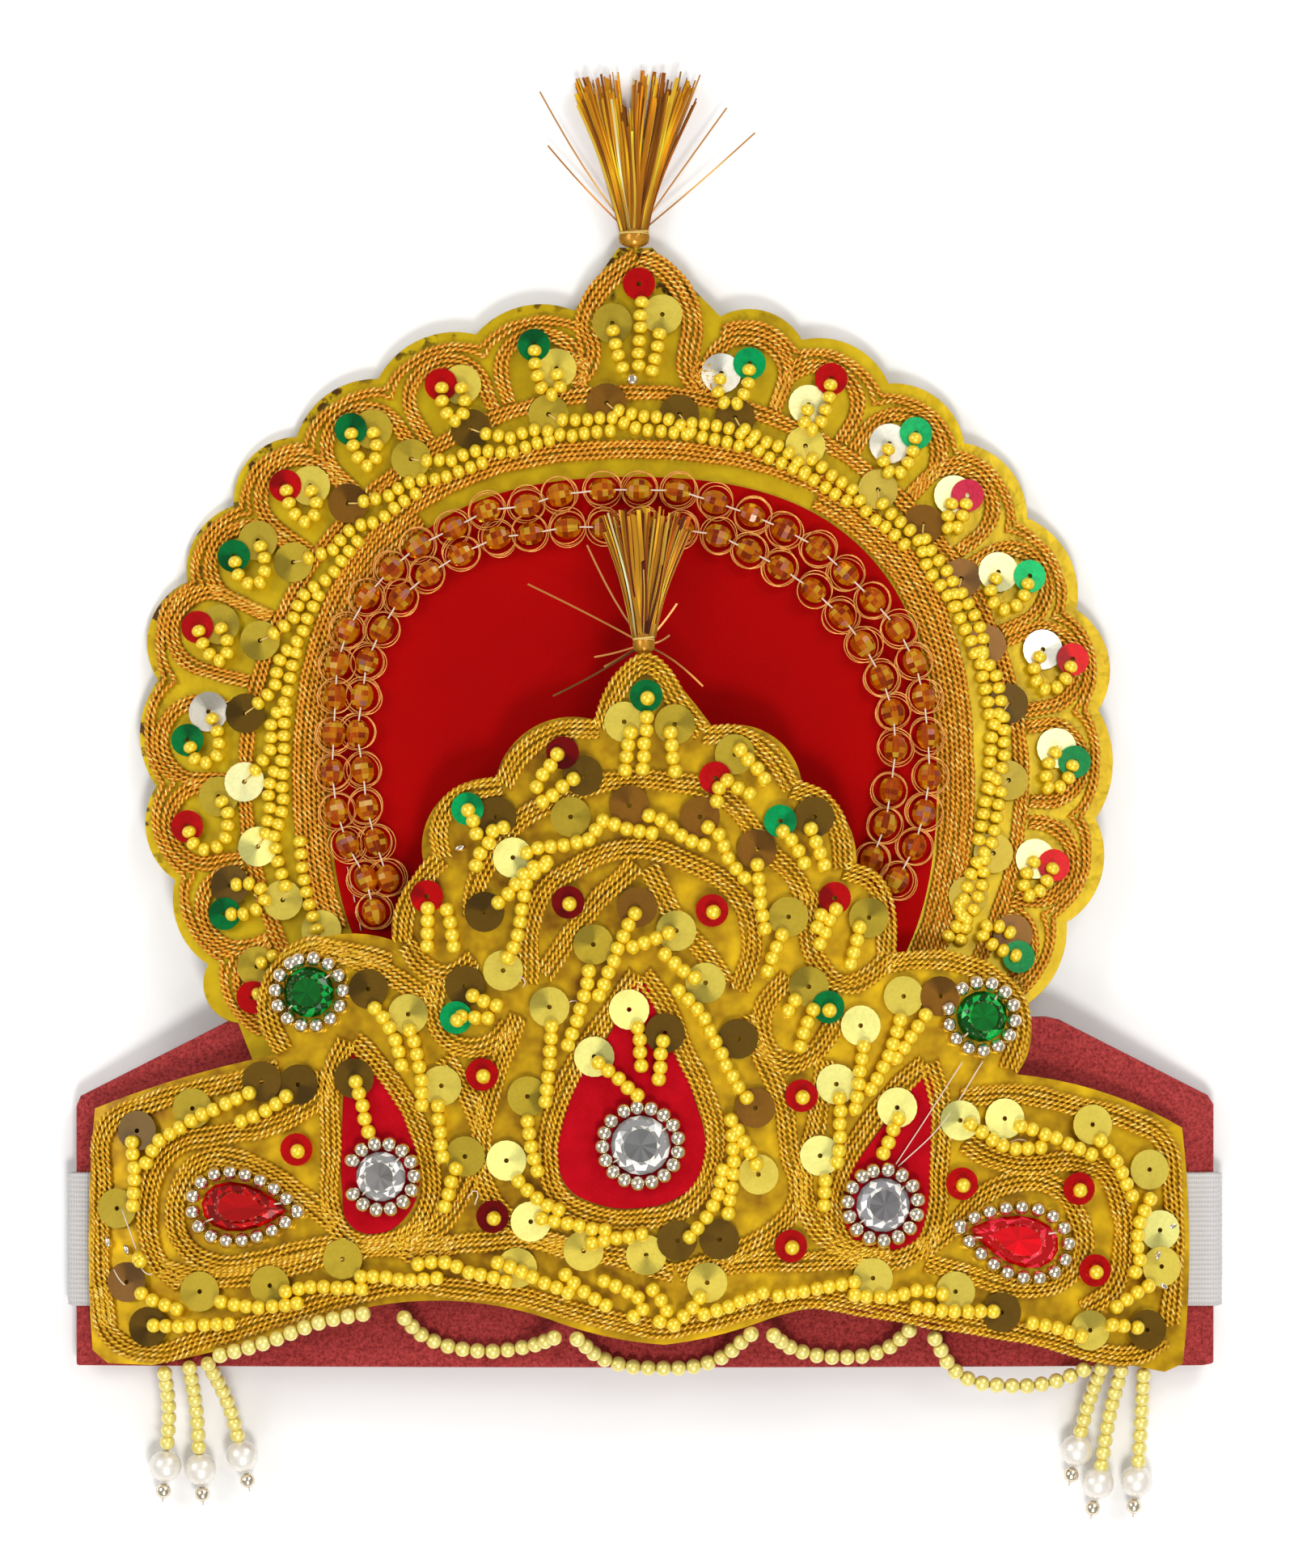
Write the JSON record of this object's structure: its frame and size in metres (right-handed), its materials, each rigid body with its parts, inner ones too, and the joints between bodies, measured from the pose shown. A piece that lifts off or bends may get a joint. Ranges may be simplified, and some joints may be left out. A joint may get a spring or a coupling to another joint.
{
  "type": "mukut crown",
  "caption": "Scalloped gold card crown with a standing disc, a brow plate of cord, pearls, sequins and stones, tinsel plumes, tassels and an elastic back.",
  "frame": {"origin": "middle of the underside of the crown as it lies on its back", "axes": "+X across the brow, +Y up the crown to its plume, +Z out of its front"},
  "size_m": [0.218, 0.2755, 0.0288],
  "materials": {
    "flocked_card": "brick red flock on card",
    "elastic": "white woven elastic",
    "foil_card": "gold foil laminate, satin",
    "velvet": "deep red velvet",
    "zari_cord": "twisted metallic gold cord",
    "gold_sequin": "metallised gold film",
    "colour_sequin": "metallised green and red film",
    "amber_bead": "clear amber in copper wire",
    "tinsel": "gold metallised tinsel",
    "silver_bead": "silver plated bead",
    "white_pearl": "white pearl lustre",
    "pale_pearl": "pale cream-yellow pearl lustre",
    "yellow_pearl": "yellow pearl lustre",
    "green_stone": "faceted foil-backed acrylic",
    "red_stone": "faceted foil-backed acrylic",
    "clear_stone": "faceted foil-backed acrylic"
  },
  "bodies": {
    "root": {"band_lining": "flocked_card", "bead_lace": "amber_bead", "centre_clear_beads": "silver_bead", "centre_clear_stone": "clear_stone", "centre_velvet_drop": "velvet", "elastic_strap": "elastic", "front_band_pearls": "yellow_pearl", "front_centre_pearls": "yellow_pearl", "front_colour_sequins": "colour_sequin", "front_cords": "zari_cord", "front_gold_sequins": "gold_sequin", "front_plate": "foil_card", "front_side_pearls": "yellow_pearl", "halo_colour_sequins": "colour_sequin", "halo_cords": "zari_cord", "halo_gold_sequins": "gold_sequin", "halo_pearl_rows": "yellow_pearl", "halo_plate": "foil_card", "halo_velvet": "velvet", "left_clear_beads": "silver_bead", "left_clear_stone": "clear_stone", "left_green_beads": "silver_bead", "left_green_stone": "green_stone", "left_inner_tassel_end_bead": "silver_bead", "left_inner_tassel_pearl": "white_pearl", "left_inner_tassel_string": "pale_pearl", "left_middle_tassel_end_bead": "silver_bead", "left_middle_tassel_pearl": "white_pearl", "left_middle_tassel_string": "pale_pearl", "left_outer_tassel_end_bead": "silver_bead", "left_outer_tassel_pearl": "white_pearl", "left_outer_tassel_string": "pale_pearl", "left_red_drop_beads": "silver_bead", "left_red_drop_stone": "red_stone", "left_velvet_drop": "velvet", "pearl_swag_1": "pale_pearl", "pearl_swag_2": "pale_pearl", "pearl_swag_3": "pale_pearl", "pearl_swag_4": "pale_pearl", "pearl_swag_5": "pale_pearl", "plume_front": "tinsel", "plume_top": "tinsel", "right_clear_beads": "silver_bead", "right_clear_stone": "clear_stone", "right_green_beads": "silver_bead", "right_green_stone": "green_stone", "right_inner_tassel_end_bead": "silver_bead", "right_inner_tassel_pearl": "white_pearl", "right_inner_tassel_string": "pale_pearl", "right_middle_tassel_end_bead": "silver_bead", "right_middle_tassel_pearl": "white_pearl", "right_middle_tassel_string": "pale_pearl", "right_outer_tassel_end_bead": "silver_bead", "right_outer_tassel_pearl": "white_pearl", "right_outer_tassel_string": "pale_pearl", "right_red_drop_beads": "silver_bead", "right_red_drop_stone": "red_stone", "right_velvet_drop": "velvet"}
  },
  "joints": []
}
